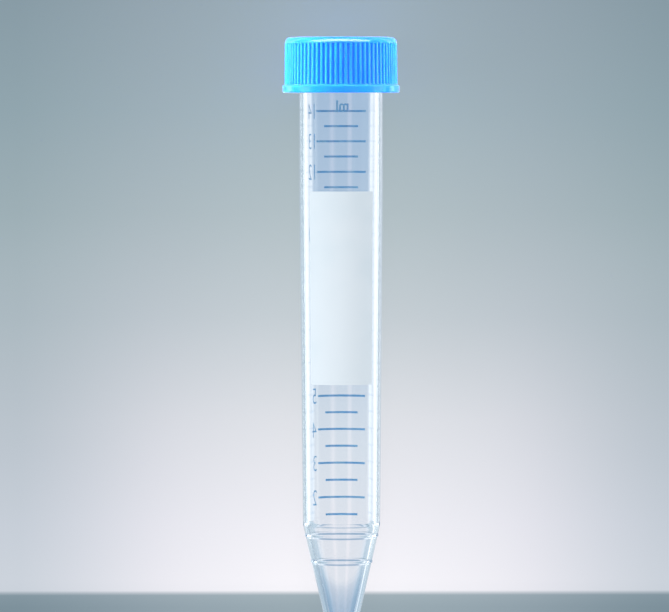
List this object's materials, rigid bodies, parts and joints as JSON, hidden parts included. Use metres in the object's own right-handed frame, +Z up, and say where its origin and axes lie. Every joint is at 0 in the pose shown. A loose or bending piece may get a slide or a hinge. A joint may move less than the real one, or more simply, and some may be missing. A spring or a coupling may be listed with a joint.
{
  "type": "15 ml conical tube",
  "caption": "Clear conical sample tube with a round tip, blue ribbed screw cap, white writing panel and millilitre scale, lying on its side.",
  "frame": {"origin": "on the surface that the tube lies on, under the middle of its overall box", "axes": "+Z up, +Y from the tip towards the cap; the tube's own axis lies in the YZ plane and leans up 2.6 degrees towards the cap; +X to the right when looking from the tip towards the cap"},
  "size_m": [0.0234, 0.1204, 0.0234],
  "materials": {
    "clear_wall": "gloss",
    "blue_cap": "gloss",
    "soft_seal": "matte",
    "white_ink": "matte",
    "blue_ink": "satin"
  },
  "bodies": {
    "tube": {"tube": "clear_wall", "writing_panel": "white_ink", "scale_lines": "blue_ink"},
    "seal": {"cap_seal": "soft_seal"},
    "cap": {"cap": "blue_cap"}
  },
  "joints": [
    {"name": "seal_lift", "type": "slide", "parent": "tube", "child": "seal", "axis": [0, 0.999, 0.0456], "range_m": [0, 0.0121]},
    {"name": "cap_turn", "type": "hinge", "parent": "seal", "child": "cap", "pos_m": [0, 0.04862, 0.01165], "axis": [0, 0.999, 0.0456], "range_deg": [0, 1440]}
  ],
  "couplings": [
    {"joint": "seal_lift", "follows": "cap_turn", "m_per_rad": 0.00047746}
  ]
}
